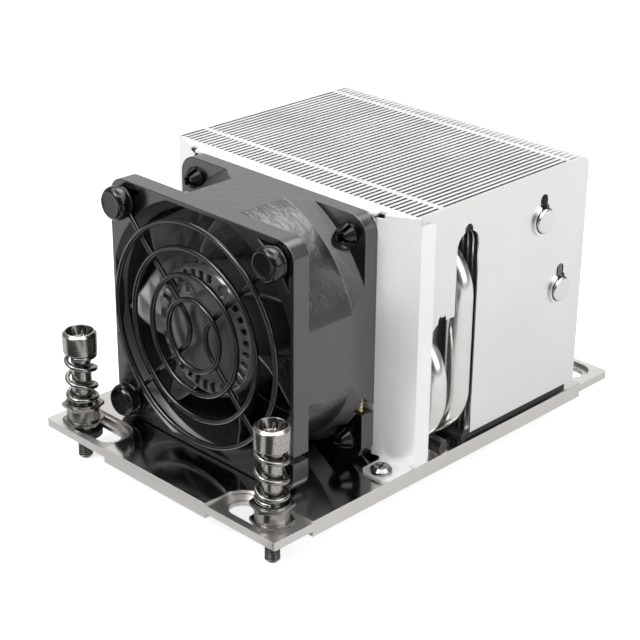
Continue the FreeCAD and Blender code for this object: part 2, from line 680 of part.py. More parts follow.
def stator_core():
    """Laminated four-pole iron on the bearing tube."""
    core = along_y(CORE_R, STATOR_Y0, STATOR_Y1)
    for i in range(POLE_COUNT):
        pole = box(-2.0, 2.0, STATOR_Y0, STATOR_Y1, 0, STATOR_R - 1.0)
        shoe = box(-6.2, 6.2, STATOR_Y0, STATOR_Y1, STATOR_R - 2.4, STATOR_R + 1)
        arm = pole.fuse(shoe)
        arm.rotate(ORIGIN, Y_AXIS, 360 / POLE_COUNT * i)
        arm.translate(V(0, 0, FAN_Z))
        core = core.fuse(arm)
    core = core.common(along_y(STATOR_R, STATOR_Y0 - 1, STATOR_Y1 + 1))
    return core.cut(along_y(BEARING_OUT_R + TUBE_WALL, STATOR_Y0 - 1, STATOR_Y1 + 1))


def coils():
    """One winding around each stator pole."""
    made = []
    for i in range(POLE_COUNT):
        coil = box(-3.6, 3.6, STATOR_Y0 - 1.6, STATOR_Y1 + 1.6, CORE_R + 0.1, STATOR_R - 2.5)
        coil = coil.cut(box(-2.05, 2.05, STATOR_Y0 - 0.05, STATOR_Y1 + 0.05, CORE_R - 1, STATOR_R))
        coil.rotate(ORIGIN, Y_AXIS, 360 / POLE_COUNT * i)
        coil.translate(V(0, 0, FAN_Z))
        made.append(coil)
    return made


def circuit_board():
    board = along_y(BOARD_R, BOARD_Y, BOARD_Y + BOARD_T)
    return board.cut(along_y(BEARING_OUT_R + TUBE_WALL, BOARD_Y - 1, BOARD_Y + BOARD_T + 1))


def fan_lead():
    """Four insulated wires from the board, along a strut, into the frame's notch."""
    direction = V(math.cos(math.radians(LEAD_ANGLE)), 0, math.sin(math.radians(LEAD_ANGLE)))
    across = V(-direction.z, 0, direction.x)
    y_board = BOARD_Y + BOARD_T + LEAD_WIRE_R
    y_strut = FAN_REAR_Y - MOTOR_BASE_T - 0.6 - LEAD_WIRE_R - 0.05
    centre = V(0, 0, FAN_Z)
    wires = []
    for k in range(4):
        shift = across * ((k - 1.5) * LEAD_PITCH)
        steps = ((7.0, y_board), (9.5, y_board), (11.5, y_strut), (FAN_BORE_R - 0.8, y_strut))
        points = [centre + direction * r + Y_AXIS * y + shift for r, y in steps]
        notch = V(FAN_SIZE / 2 - 0.8, y_strut, FAN_Z + LEAD_NOTCH_Z + (k - 1.5) * LEAD_PITCH * direction.x)
        wires.append(bent_wire(points + [notch], LEAD_WIRE_R))
    return wires


def bent_wire(points, radius):
    """Six-sided wire through the points, mitred at each bend."""
    sections = []
    for k, point in enumerate(points):
        ahead = (points[min(k + 1, len(points) - 1)] - point)
        behind = (point - points[max(k - 1, 0)])
        tangent = V(0, 0, 0)
        for leg in (ahead, behind):
            if leg.Length > 0:
                tangent = tangent + leg.normalize()
        turn = FreeCAD.Rotation(Z_AXIS, tangent)
        ring = [point + turn.multVec(V(radius * math.cos(a), radius * math.sin(a), 0))
                for a in (math.radians(60 * j) for j in range(6))]
        sections.append(Part.makePolygon(ring + ring[:1]))
    return Part.makeLoft(sections, True, True)


def at_angle(piece, angle):
    """The piece moved from three o'clock about the fan's axis, seen from the front."""
    piece.rotate(ORIGIN, Y_AXIS, -angle)
    piece.translate(V(0, 0, FAN_Z))
    return piece


def hub_cup():
    """Rotor cup with groups of vent slots in its recessed face and a boss for the shaft."""
    y0 = HUB_FRONT_Y
    inner = HUB_R - HUB_WALL
    cup = turned([(0, 0), (HUB_R - 1.0, 0), (HUB_R, 1.0), (HUB_R, HUB_LEN), (inner, HUB_LEN),
                  (inner, HUB_FACE_T), (3.2, HUB_FACE_T), (3.2, 4.4), (0, 4.4)],
                 V(0, y0, FAN_Z), Y_AXIS)
    cup = cup.cut(along_y(VENT_INNER_R, y0 - 1, y0 + FACE_RECESS))
    cup = cup.cut(along_y(SHAFT_R, y0 + 0.8, y0 + 6))
    for group in range(VENT_GROUPS):
        middle = VENT_PHASE + 360 / VENT_GROUPS * group
        for k in range(VENTS_PER_GROUP):
            slot = box(VENT_INNER_R - 0.1, VENT_OUTER_R, y0 - 1, y0 + HUB_FACE_T + 0.1,
                       -VENT_HALF_W, VENT_HALF_W)
            cup = cup.cut(at_angle(slot, middle + (k - (VENTS_PER_GROUP - 1) / 2) * VENT_STEP))
        mark = rod(PIN_MARK_R, V(VENT_INNER_R + 0.5 * PIN_MARK_R, y0 - 1, 0), Y_AXIS, 1 + 2 * FACE_RECESS)
        cup = cup.cut(at_angle(mark, middle + 180 / VENT_GROUPS))
        dimple = rod(DIMPLE_R, V(0.62 * HUB_R, y0 - 1, 0), Y_AXIS, 1 + 2 * FACE_RECESS)
        cup = cup.cut(at_angle(dimple, middle))
    return cup


def blade_points(radius, front_deg, rear_deg):
    """Both faces of a blade at one radius: pairs of points from front edge to rear edge."""
    pairs = []
    for k in range(BLADE_STEPS + 1):
        t = k / BLADE_STEPS
        y = BLADE_START_Y + (BLADE_END_Y - BLADE_START_Y) * t
        camber = 0.12 * math.sin(math.pi * t)
        angle = math.radians(front_deg + (rear_deg - front_deg) * (t - camber))
        half = BLADE_T / 2 * (0.4 + 0.6 * math.sin(math.pi * t)) / radius
        sides = (angle + half, angle - half)
        pairs.append([V(radius * math.cos(a), y, FAN_Z + radius * math.sin(a)) for a in sides])
    return pairs


def skin(rows):
    """Triangle pairs over a grid of points."""
    faces = []
    for low, high in zip(rows, rows[1:]):
        for k in range(len(low) - 1):
            a, b, c, d = low[k], low[k + 1], high[k + 1], high[k]
            for corners in ((a, b, c, a), (a, c, d, a)):
                faces.append(Part.Face(Part.makePolygon(list(corners))))
    return faces


def blade():
    """Twisted blade: its front edge leans back toward the hub and its rear edge less so."""
    root = HUB_R - 0.5
    rings = []
    for step in range(BLADE_RINGS + 1):
        radius = root + (BLADE_TIP_R - root) * step / BLADE_RINGS
        inward = (BLADE_TIP_R - radius) / (BLADE_TIP_R - HUB_R)
        front = BLADE_PHASE + BLADE_LEAN * inward
        rear = BLADE_PHASE - BLADE_SPAN + BLADE_TWIST * inward
        rings.append(blade_points(radius, front, rear))
    upper = [[pair[0] for pair in ring] for ring in rings]
    lower = [[pair[1] for pair in ring] for ring in rings]
    faces = skin(upper) + skin(lower)
    faces += skin([upper[0], lower[0]]) + skin([upper[-1], lower[-1]])
    for end in (0, -1):
        faces += skin([[row[end] for row in upper], [row[end] for row in lower]])
    shell = Part.makeShell(faces)
    shell.sewShape()
    solid = Part.makeSolid(Part.Shell(shell.Faces))
    if solid.Volume < 0:
        solid.reverse()
    return solid


def impeller():
    body = hub_cup()
    pattern = blade()
    for i in range(BLADE_COUNT):
        copy = pattern.copy()
        copy.rotate(V(0, 0, FAN_Z), Y_AXIS, 360 / BLADE_COUNT * i)
        body = body.fuse(copy)
    return body.removeSplitter()


def rotor_yoke():
    r = HUB_R - HUB_WALL
    return tube(r, r - YOKE_T, V(0, HUB_FRONT_Y + 4.0, FAN_Z), Y_AXIS, HUB_LEN - 4.6)


def magnet_ring():
    r = HUB_R - HUB_WALL - YOKE_T
    return tube(r, r - MAGNET_T, V(0, STATOR_Y0 - 1.0, FAN_Z), Y_AXIS, MAGNET_LEN)


def shaft():
    """Fan shaft with a groove for its clip."""
    end = REAR_BEARING_Y + BEARING_LEN + 1.2
    start = HUB_FRONT_Y + 0.8
    pin = along_y(SHAFT_R, start, end)
    groove_start = V(0, REAR_BEARING_Y + BEARING_LEN + 0.2, FAN_Z)
    return pin.cut(tube(SHAFT_R + 1, SHAFT_R - 0.4, groove_start, Y_AXIS, 0.5))


def shaft_clip():
    y = REAR_BEARING_Y + BEARING_LEN + 0.2
    clip = tube(SHAFT_R + 1.2, SHAFT_R - 0.4, V(0, y, FAN_Z), Y_AXIS, 0.5)
    return clip.cut(box(-0.5, 0.5, y - 1, y + 2, FAN_Z, FAN_Z + 4))


# ---- finger guard and rivets ------------------------------------------------------------

def swept(path, radius):
    start = path.OrderedVertexes[0].Point
    direction = path.OrderedEdges[0].tangentAt(path.OrderedEdges[0].FirstParameter)
    if (path.OrderedEdges[0].valueAt(path.OrderedEdges[0].FirstParameter) - start).Length > 0.01:
        direction = path.OrderedEdges[0].tangentAt(path.OrderedEdges[0].LastParameter)
    return path.makePipeShell([Part.Wire(Part.makeCircle(radius, start, direction))], True, False)


def guard_stay(side):
    """Bent wire from the top corner's eye past the middle to the bottom corner's eye."""
    reach = FAN_HOLE_PITCH / 2 - EYE_R * math.sqrt(0.5)
    r = GUARD_APEX_R
    # two 45 degree legs that meet at the middle line, rounded at the apex
    leg = r * math.tan(math.radians(45)) * math.sqrt(0.5)
    centre_x = r * math.sqrt(2)
    top = V(side * reach, EYE_Y, FAN_Z + reach)
    low = V(side * reach, EYE_Y, FAN_Z - reach)
    turn_top = V(side * leg, EYE_Y, FAN_Z + leg)
    turn_low = V(side * leg, EYE_Y, FAN_Z - leg)
    apex = V(side * (centre_x - r), EYE_Y, FAN_Z)
    path = Part.Wire([Part.makeLine(top, turn_top),
                      Part.Arc(turn_top, apex, turn_low).toShape(),
                      Part.makeLine(turn_low, low)])
    return swept(path, GUARD_WIRE_R)


def finger_guard():
    """Four rings welded onto two bent stays that end in eyes."""
    pieces = [Part.makeTorus(r, GUARD_WIRE_R, V(0, RING_Y, FAN_Z), Y_AXIS) for r in GUARD_RINGS]
    pieces += [guard_stay(side) for side in (-1, 1)]
    pieces += [Part.makeTorus(EYE_R, GUARD_WIRE_R, V(c.x, EYE_Y, c.z), Y_AXIS) for c in fan_corners()]
    return pieces[0].fuse(pieces[1:])


def guard_rivet(corner):
    """Push rivet with a flat round head through a guard eye and the front flange."""
    y = EYE_Y - GUARD_WIRE_R
    r = RIVET_HEAD_R
    h = RIVET_HEAD_H
    length = FRONT_FLANGE + 2 * GUARD_WIRE_R + 1.4
    shank = FAN_HOLE_R - 0.1
    return turned([(0, length), (shank - 0.5, length), (shank, length - 1.0), (shank, 0), (r, 0),
                   (r, -0.4 * h), (0.97 * r, -0.68 * h), (0.9 * r, -0.88 * h), (0.8 * r, -h), (0, -h)],
                  V(corner.x, y, corner.z), Y_AXIS)


def rear_rivet(corner):
    """Push rivet from behind the shroud's plate, its four barbed prongs in front of the flange."""
    y = FAN_REAR_Y - REAR_FLANGE
    r = REAR_HEAD_R
    shank = FAN_HOLE_R - 0.1
    length = REAR_FLANGE + SHEET_T
    rivet = turned([(0, length + REAR_BUTTON_H), (r, length + REAR_BUTTON_H), (r, length), (shank, length),
                    (shank, 0), (BARB_R, 0), (BARB_R, -0.5), (0.55 * BARB_R, -BARB_LEN), (0, -BARB_LEN)],
                   V(corner.x, y, corner.z), Y_AXIS)
    rivet = rivet.cut(rod(BARB_BORE_R, V(corner.x, y - BARB_LEN - 1, corner.z), Y_AXIS, BARB_LEN + 2))
    for turn in (BARB_TURN, BARB_TURN + 90):
        slot = box(-r, r, -BARB_LEN - 1, -0.4, -0.5, 0.5)
        slot.rotate(ORIGIN, Y_AXIS, turn)
        slot.translate(V(corner.x, y, corner.z))
        rivet = rivet.cut(slot)
    return rivet


# ---- captive screws ---------------------------------------------------------------------

def hexagon(radius, z, height, turn):
    points = []
    for k in range(6):
        angle = math.radians(60 * k + turn)
        points.append(V(radius * math.cos(angle), radius * math.sin(angle), z))
    return slab(points, Z_AXIS, height)


def bush(place, turn):
    """Spool with a hex flange at each end of its collar and a neck through the slot."""
    collar_z = EAR_TOP + BUSH_HEX_T
    flange_z = collar_z + BUSH_COLLAR_H
    body = hexagon(BUSH_HEX_R, EAR_TOP, BUSH_HEX_T, turn)
    body = body.fuse(rod(BUSH_COLLAR_R, V(0, 0, collar_z), Z_AXIS, BUSH_COLLAR_H))
    body = body.fuse(hexagon(BUSH_HEX_R, flange_z, BUSH_HEX_T, turn))
    body = body.fuse(rod(BUSH_COLLAR_R + 0.1, V(0, 0, flange_z + BUSH_HEX_T), Z_AXIS, BUSH_LIP_H))
    body = body.fuse(rod(BUSH_NECK_R, V(0, 0, NECK_BOTTOM_Z), Z_AXIS, EAR_TOP - NECK_BOTTOM_Z))
    body = body.cut(rod(BUSH_BORE_R, V(0, 0, NECK_BOTTOM_Z - 1), Z_AXIS, 20))
    body.translate(place)
    return body.removeSplitter()


def retaining_ring(place):
    return tube(RING_R, BUSH_NECK_R, V(place.x, place.y, RING_BOTTOM_Z), Z_AXIS, RING_T)


def captive_screw(place):
    """Funnel head with a six-lobe socket, plain shank, grooved for its clip, threaded end."""
    head_z = SCREW_TOP_Z - SCREW_HEAD_H
    clip_z = NECK_BOTTOM_Z - CLIP_T
    shank_end = clip_z - SHANK_UNDER_CLIP
    r = SCREW_HEAD_R
    groove_r = SHANK_R - 0.45
    screw = turned([
        (0, SCREW_TIP_Z), (THREAD_R - 0.6, SCREW_TIP_Z), (THREAD_R, SCREW_TIP_Z + 0.7),
        (THREAD_R, shank_end), (SHANK_R, shank_end), (SHANK_R, clip_z), (groove_r, clip_z),
        (groove_r, NECK_BOTTOM_Z), (SHANK_R, NECK_BOTTOM_Z), (SHANK_R, head_z),
        (r - 0.4, head_z), (r, head_z + 0.4), (r, SCREW_TOP_Z - 0.6), (r - 0.5, SCREW_TOP_Z),
        (r - 0.9, SCREW_TOP_Z), (2.2, SCREW_TOP_Z - 2.2), (1.5, SCREW_TOP_Z - 2.3),
        (1.5, SCREW_TOP_Z - 4.0), (0, SCREW_TOP_Z - 4.0)], place, Z_AXIS)
    for k in range(6):
        angle = math.radians(60 * k)
        lobe = V(place.x + 1.75 * math.cos(angle), place.y + 1.75 * math.sin(angle), SCREW_TOP_Z - 4.0)
        screw = screw.cut(rod(0.55, lobe, Z_AXIS, 5))
    return screw


def screw_clip(place):
    """Open clip in the screw's groove, stopped by the bush's neck."""
    z = NECK_BOTTOM_Z - CLIP_T
    clip = tube(CLIP_R, SHANK_R - 0.4, V(place.x, place.y, z), Z_AXIS, CLIP_T)
    return clip.cut(box(place.x - 0.9, place.x + 0.9, place.y, place.y + 5, z - 1, z + 2))


def coil_spring(place, turn):
    """Left-hand compression spring: closed coils below, open coils, flat closed end at the head."""
    low = BUSH_TOP_Z + SPRING_WIRE_R
    high = SCREW_TOP_Z - SCREW_HEAD_H - SPRING_WIRE_R
    closed_rise = 2 * SPRING_WIRE_R * 1.04 / SPRING_STEPS
    closed_steps = int(SPRING_CLOSED_TURNS * SPRING_STEPS)
    open_steps = int(SPRING_OPEN_TURNS * SPRING_STEPS)
    open_rise = (high - low - closed_rise * closed_steps) / open_steps
    rises = [0.0] + [closed_rise] * closed_steps + [open_rise] * open_steps
    rises += [0.0] * (SPRING_STEPS // 2)
    sections = []
    z = low
    for k, rise in enumerate(rises):
        z += rise
        angle = math.radians(turn) - 2 * math.pi * k / SPRING_STEPS
        out = V(math.cos(angle), math.sin(angle), 0)
        centre = place + out * SPRING_R + V(0, 0, z)
        points = []
        for j in range(6):
            spin = math.radians(60 * j)
            points.append(centre + (out * math.cos(spin) + Z_AXIS * math.sin(spin)) * SPRING_WIRE_R)
        sections.append(Part.makePolygon(points + points[:1]))
    return Part.makeLoft(sections, True, True)


# ---- write the parts --------------------------------------------------------------------

os.makedirs("parts", exist_ok=True)

export("base_plate", base_plate())
export("pipe_saddle", pipe_saddle())

tall = heat_pipe(TALL_Z, TALL_DY)
short = heat_pipe(SHORT_Z, SHORT_DY)
export("heat_pipe_tall_right", tall)
export("heat_pipe_short_right", short)
export("heat_pipe_tall_left", half_turned(tall))
export("heat_pipe_short_left", half_turned(short))

fins = fin_pack()
export("fins_middle", *fins["middle"])
export("fins_right", *fins["right"])
export("fins_left", *fins["left"])
export("end_fin_right", *fins["right_end"])
export("end_fin_left", *fins["left_end"])

export("shroud", shroud())
export("shroud_foot_screws", *[foot_screw(p) for p in foot_screw_places()])

export("fan_frame", fan_frame())
export("fan_bearing_front", bearing(TUBE_FRONT_Y))
export("fan_bearing_rear", bearing(REAR_BEARING_Y))
export("stator_core", stator_core())
export("stator_coils", *coils())
export("circuit_board", circuit_board())
export("fan_lead", *fan_lead())
export("impeller", impeller())
export("rotor_yoke", rotor_yoke())
export("magnet_ring", magnet_ring())
export("fan_shaft", shaft())
export("shaft_clip", shaft_clip())

export("finger_guard", finger_guard())
export("guard_rivets", *[guard_rivet(c) for c in fan_corners()])
export("fan_rivets", *[rear_rivet(c) for c in fan_corners()])

export("screw_bushes", *[bush(p, HEX_TURNS[n]) for n, p in SCREWS.items()])
export("retaining_rings", *[retaining_ring(p) for p in SCREWS.values()])
for name, place in SCREWS.items():
    export("screw_" + name, captive_screw(place))
    export("screw_clip_" + name, screw_clip(place))
    export("spring_" + name, coil_spring(place, SPRING_TURNS[name]))
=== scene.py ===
import json
import math

import bpy
import numpy as np
from mathutils import Matrix, Vector

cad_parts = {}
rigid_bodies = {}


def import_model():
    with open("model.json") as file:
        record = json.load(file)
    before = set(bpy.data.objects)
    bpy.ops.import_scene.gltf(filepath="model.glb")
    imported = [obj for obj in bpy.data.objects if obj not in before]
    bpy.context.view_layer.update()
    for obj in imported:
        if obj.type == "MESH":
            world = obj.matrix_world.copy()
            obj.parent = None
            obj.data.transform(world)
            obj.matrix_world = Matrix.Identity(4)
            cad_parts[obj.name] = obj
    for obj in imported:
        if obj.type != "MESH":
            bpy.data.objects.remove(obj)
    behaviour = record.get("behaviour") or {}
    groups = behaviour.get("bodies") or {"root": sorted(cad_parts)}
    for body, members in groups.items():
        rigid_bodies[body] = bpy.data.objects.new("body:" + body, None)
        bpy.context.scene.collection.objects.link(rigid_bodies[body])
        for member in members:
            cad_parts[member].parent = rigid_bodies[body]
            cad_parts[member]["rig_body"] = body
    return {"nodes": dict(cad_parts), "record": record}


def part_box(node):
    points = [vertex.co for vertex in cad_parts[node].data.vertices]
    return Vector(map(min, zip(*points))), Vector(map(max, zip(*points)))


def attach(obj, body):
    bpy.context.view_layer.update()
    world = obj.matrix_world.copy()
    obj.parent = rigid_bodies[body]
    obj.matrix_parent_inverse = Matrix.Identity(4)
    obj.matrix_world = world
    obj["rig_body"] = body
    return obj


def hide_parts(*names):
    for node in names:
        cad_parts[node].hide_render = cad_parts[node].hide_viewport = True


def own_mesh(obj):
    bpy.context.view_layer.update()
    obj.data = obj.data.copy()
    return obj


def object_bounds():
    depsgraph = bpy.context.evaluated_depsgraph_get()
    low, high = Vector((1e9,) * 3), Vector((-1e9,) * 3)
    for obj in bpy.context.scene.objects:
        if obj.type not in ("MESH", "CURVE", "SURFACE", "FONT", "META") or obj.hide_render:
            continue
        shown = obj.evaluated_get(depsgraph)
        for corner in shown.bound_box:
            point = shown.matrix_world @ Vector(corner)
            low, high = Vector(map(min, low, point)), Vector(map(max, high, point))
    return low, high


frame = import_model()
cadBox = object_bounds()
nodes = frame["nodes"]
print("frame loaded:", len(nodes), "nodes")


# metres and degrees
cameraSettings = {
    "place": (0.25995, -0.26962, 0.19467),
    "azimuth": 44.563,
    "elevation": 24.581,
    "roll": 0.508,
    "lens": 95.14,
    "sensor": 36,
    "clip": (0.01, 50),
}


def makeCamera(settings):
    # ahead comes from azimuth and elevation, up is square to it, and roll turns both about it
    azimuth, elevation, roll = (math.radians(settings[key]) for key in ("azimuth", "elevation", "roll"))
    ahead = Vector((-math.sin(azimuth) * math.cos(elevation), math.cos(azimuth) * math.cos(elevation),
                    -math.sin(elevation)))
    right = Vector((math.cos(azimuth), math.sin(azimuth), 0))
    up = right.cross(ahead)
    sideways = right * math.cos(roll) + up * math.sin(roll)
    upward = up * math.cos(roll) - right * math.sin(roll)
    data = bpy.data.cameras.new("camera")
    data.lens = settings["lens"]
    data.sensor_width = settings["sensor"]
    data.clip_start, data.clip_end = settings["clip"]
    camera = bpy.data.objects.new("camera", data)
    turn = Matrix((sideways, upward, -ahead)).transposed()
    camera.matrix_world = Matrix.Translation(settings["place"]) @ turn.to_4x4()
    bpy.context.scene.collection.objects.link(camera)
    bpy.context.scene.camera = camera


# square softboxes: the side in metres, the power in watts
lampSettings = {
    "keySoftbox": {"place": (-0.15, -0.85, 0.85), "aim": (0, 0, 0.03), "side": 0.45, "power": 7.5},
    "rightSoftbox": {"place": (0.95, 0.20, 0.60), "aim": (0, 0, 0.03), "side": 0.9, "power": 5.0},
    "topSoftbox": {"place": (-0.1, 0.35, 1.1), "aim": (0, 0, 0), "side": 0.6, "power": 4.2},
    "backSoftbox": {"place": (-0.78, 0.80, 0.55), "aim": (0, 0, 0.03), "side": 0.8, "power": 1.3},
}


def makeLamp(name, settings):
    data = bpy.data.lights.new(name, "AREA")
    data.shape = "SQUARE"
    data.size = settings["side"]
    data.energy = settings["power"]
    lamp = bpy.data.objects.new(name, data)
    lamp.location = settings["place"]
    look = Vector(settings["aim"]) - Vector(settings["place"])
    lamp.rotation_euler = look.to_track_quat("-Z", "Y").to_euler()
    bpy.context.scene.collection.objects.link(lamp)


def feed(tree, value, socket):
    # a node stands for its first output; what comes from no node is the socket's own value
    if isinstance(value, bpy.types.Node):
        value = value.outputs[0]
    if isinstance(value, bpy.types.NodeSocket):
        tree.links.new(value, socket)
    else:
        socket.default_value = value


def addNode(tree, kind, *values, **settings):
    # values feed the inputs in order, settings by name, and "prop_" stands before a node property's name
    node = tree.nodes.new("ShaderNode" + kind)
    for key, value in settings.items():
        if key.startswith("prop_"):
            setattr(node, key.removeprefix("prop_"), value)
    for value, socket in zip(values, node.inputs):
        feed(tree, value, socket)
    for key, value in settings.items():
        if not key.startswith("prop_"):
            feed(tree, value, node.inputs[key.replace("_", " ")])
    return node


def mathNode(tree, operation, *values):
    return addNode(tree, "Math", *values, prop_operation=operation)


def times(tree, first, second):
    return mathNode(tree, "MULTIPLY", first, second)


def plus(tree, first, second):
    return mathNode(tree, "ADD", first, second)


def along(tree, axis, vector):
    return addNode(tree, "SeparateXYZ", vector).outputs[axis]


def between(tree, value, low, high):
    return times(tree, mathNode(tree, "GREATER_THAN", value, low), mathNode(tree, "LESS_THAN", value, high))


def rampNode(tree, value, stops):
    # stops: (position, grey or colour)
    node = addNode(tree, "ValToRGB", value)
    while len(node.color_ramp.elements) < len(stops):
        node.color_ramp.elements.new(0.5)
    for element, (position, color) in zip(node.color_ramp.elements, stops):
        element.position = position
        if isinstance(color, (int, float)):
            color = (color, color, color)
        element.color = (*color, 1)
    return node


domeSettings = {
    "fill": 0.42,                          # what lights the object from all round
    "mirror": 0.41,                        # what metal sees
    "overhead": 3.5,                       # a ring of bright panels high above, which only mirrors see
    "overheadHeight": (0.72, 0.93),
    "stripDirection": (0.55, -0.83, 0.0),  # a dark strip on the camera's side, for metal
    "stripDepth": 0.85,
    "stripEdge": (0.72, 0.95),
}


def makeDome(settings):
    # pale behind the object, a soft even fill for its light, and a dome with panels and strip for mirrors
    world = bpy.data.worlds.new("studio")
    bpy.context.scene.world = world
    world.use_nodes = True
    tree = world.node_tree
    tree.nodes.clear()
    rays = addNode(tree, "LightPath").outputs
    direction = addNode(tree, "TexCoord").outputs["Generated"]
    toward = addNode(tree, "VectorMath", direction, settings["stripDirection"], prop_operation="DOT_PRODUCT")
    low, high = settings["stripEdge"]
    strip = rampNode(tree, toward.outputs["Value"], [(low, 1), (high, 1 - settings["stripDepth"])])
    height = along(tree, "Z", direction)
    low, high = settings["overheadHeight"]
    panels = between(tree, height, low, high)
    mirrored = plus(tree, times(tree, strip, settings["mirror"]), times(tree, panels, settings["overhead"]))
    light = addNode(tree, "Mix", Factor=rays["Is Glossy Ray"], A=settings["fill"], B=mirrored)
    seen = mathNode(tree, "MAXIMUM", rays["Is Camera Ray"], rays["Is Transmission Ray"])
    strength = addNode(tree, "Mix", Factor=seen, A=light, B=1.0)
    addNode(tree, "OutputWorld", addNode(tree, "Background", Strength=strength))


def flatSheet(name, corners, height):
    mesh = bpy.data.meshes.new(name)
    mesh.from_pydata([(x, y, height) for x, y in corners], [], [tuple(range(len(corners)))])
    sheet = bpy.data.objects.new(name, mesh)
    bpy.context.scene.collection.objects.link(sheet)
    return sheet


floorSettings = {
    "half": 3.0,
    "below": 0.00005,
    "color": (0.86, 0.86, 0.86),
    "glow": 0.62,                 # added for the camera alone
    "mirrorShare": 0.65,          # of what mirrors see of the floor, the share that is mirrorGlow
    # painted shadow: what mirrors see of the floor is dimmer near the object, for its shadow there
    "mirrorGlow": (0.84, 1.20),   # rises between these two distances from the middle
    "glowReach": (0.05, 0.22),
}


def makeFloor(settings, height):
    half = settings["half"]
    floor = flatSheet("floor", [(-half, -half), (half, -half), (half, half), (-half, half)], height)
    material = bpy.data.materials.new("paperFloor")
    material.use_nodes = True
    tree = material.node_tree
    tree.nodes.clear()
    rays = addNode(tree, "LightPath").outputs
    paper = addNode(tree, "BsdfDiffuse", Color=(*settings["color"], 1))
    glow = addNode(tree, "Emission", Strength=times(tree, rays["Is Camera Ray"], settings["glow"]))
    place = addNode(tree, "TexCoord").outputs["Object"]
    away = addNode(tree, "VectorMath", place, prop_operation="LENGTH").outputs["Value"]
    near, far = settings["glowReach"]
    low, high = settings["mirrorGlow"]
    # painted shadow: the floor's glow for mirrors is lower near the middle, where the object's shadow falls
    mirrorGlowPaintedShadow = addNode(tree, "MapRange", away, From_Min=near, From_Max=far, To_Min=low, To_Max=high)
    share = times(tree, rays["Is Glossy Ray"], settings["mirrorShare"])
    seen = addNode(tree, "MixShader", share, addNode(tree, "AddShader", paper, glow),
                   addNode(tree, "Emission", Strength=mirrorGlowPaintedShadow))
    addNode(tree, "OutputMaterial", seen)
    floor.data.materials.append(material)


# black cards just above the floor, which only mirrors see
cardSettings = {
    "lift": 0.0004,
    "color": (0.02, 0.02, 0.02),
    "roughness": 0.9,
    "corners": {
        "wedgeCard": [(0.028, -0.064), (0.173, -0.646), (0.567, -0.327)],
        "frontCard": [(0.012, -0.077), (-0.05, -0.077), (-0.17, -0.20), (0.012, -0.20)],
    },
}


def makeCards(settings, height):
    material = bpy.data.materials.new("blackCard")
    material.use_nodes = True
    shader = material.node_tree.nodes["Principled BSDF"]
    shader.inputs["Base Color"].default_value = (*settings["color"], 1)
    shader.inputs["Roughness"].default_value = settings["roughness"]
    for name, corners in settings["corners"].items():
        card = flatSheet(name, corners, height + settings["lift"])
        card.visible_camera = card.visible_diffuse = card.visible_shadow = False
        card.data.materials.append(material)


bpy.context.scene.view_settings.view_transform = "Standard"
makeCamera(cameraSettings)
for name, settings in lampSettings.items():
    makeLamp(name, settings)
makeDome(domeSettings)
floorHeight = cadBox[0].z - floorSettings["below"]
makeFloor(floorSettings, floorHeight)
makeCards(cardSettings, floorHeight)
print("camera, lamps and floor ready")


# what all finishes share: noises, the stops of their ramps and the heights of their relief in metres
skinSettings = {
    "grainNoise": {"Detail": 2.0, "Roughness": 0.6},
    "mottleNoise": {"Detail": 3.0, "Roughness": 0.55},
    "lineNoise": {"Detail": 3.0, "Roughness": 0.7},
    "dustNoise": {"Scale": 900.0, "Detail": 4.0, "Roughness": 0.7},
    "mouldNoise": {"Detail": 4.0, "Roughness": 0.6},
    "mottle": 60,
    "mottleStops": (0.2, 0.8),
    "metalSpread": 0.05,
    "plasticSpread": 0.25,
    "speckleStops": (0.35, 0.65),
    "dustColor": (0.35, 0.34, 0.33),
    "edgeSamples": 6,
    "lineHeight": 0.0002,
    "mouldHeight": 0.0003,
    "grainHeight": 0.00005,
}


def startGroup(name, inputs, outputs):
    # inputs by name with their start values, where a tuple makes a vector; every output is a value
    tree = bpy.data.node_groups.new(name, "ShaderNodeTree")
    for label, value in inputs.items():
        kind = "NodeSocketVector" if isinstance(value, tuple) else "NodeSocketFloat"
        tree.interface.new_socket(name=label, in_out="INPUT", socket_type=kind).default_value = value
    for label in outputs:
        tree.interface.new_socket(name=label, in_out="OUTPUT", socket_type="NodeSocketFloat")
    return tree, tree.nodes.new("NodeGroupInput").outputs, tree.nodes.new("NodeGroupOutput").inputs


def makeGrainGroup():
    # fine even grain as a height, and slow mottling as a value round 0.5
    start = {"Vector": (0.0, 0.0, 0.0), "Grain Scale": 4000.0, "Mottle Scale": 60.0}
    tree, inside, outside = startGroup("grainAndMottle", start, ["Grain", "Mottle"])
    for label in ("Grain", "Mottle"):
        noise = addNode(tree, "TexNoise", Vector=inside["Vector"], Scale=inside[label + " Scale"],
                        **skinSettings[label.lower() + "Noise"])
        feed(tree, noise, outside[label])
    return tree


def makeLineGroup():
    # long thin lines along one axis: the vector is squeezed by Stretch before the noise reads it
    start = {"Vector": (0.0, 0.0, 0.0), "Stretch": (1.0, 1.0, 1.0), "Scale": 1500.0}
    tree, inside, outside = startGroup("drawnLines", start, ["Height"])
    squeezed = addNode(tree, "VectorMath", inside["Vector"], inside["Stretch"], prop_operation="MULTIPLY")
    noise = addNode(tree, "TexNoise", Vector=squeezed, Scale=inside["Scale"], **skinSettings["lineNoise"])
    feed(tree, noise, outside["Height"])
    return tree


def makeDustGroup():
    # thin dust that settles on faces turned upward, broken up by noise
    start = {"Vector": (0.0, 0.0, 0.0), "Amount": 0.1}
    tree, inside, outside = startGroup("settledDust", start, ["Mask"])
    normal = addNode(tree, "NewGeometry").outputs["Normal"]
    upward = mathNode(tree, "MAXIMUM", along(tree, "Z", normal), 0.0)
    noise = addNode(tree, "TexNoise", Vector=inside["Vector"], **skinSettings["dustNoise"])
    feed(tree, times(tree, times(tree, upward, noise), inside["Amount"]), outside["Mask"])
    return tree


grainGroup = makeGrainGroup()
lineGroup = makeLineGroup()
dustGroup = makeDustGroup()


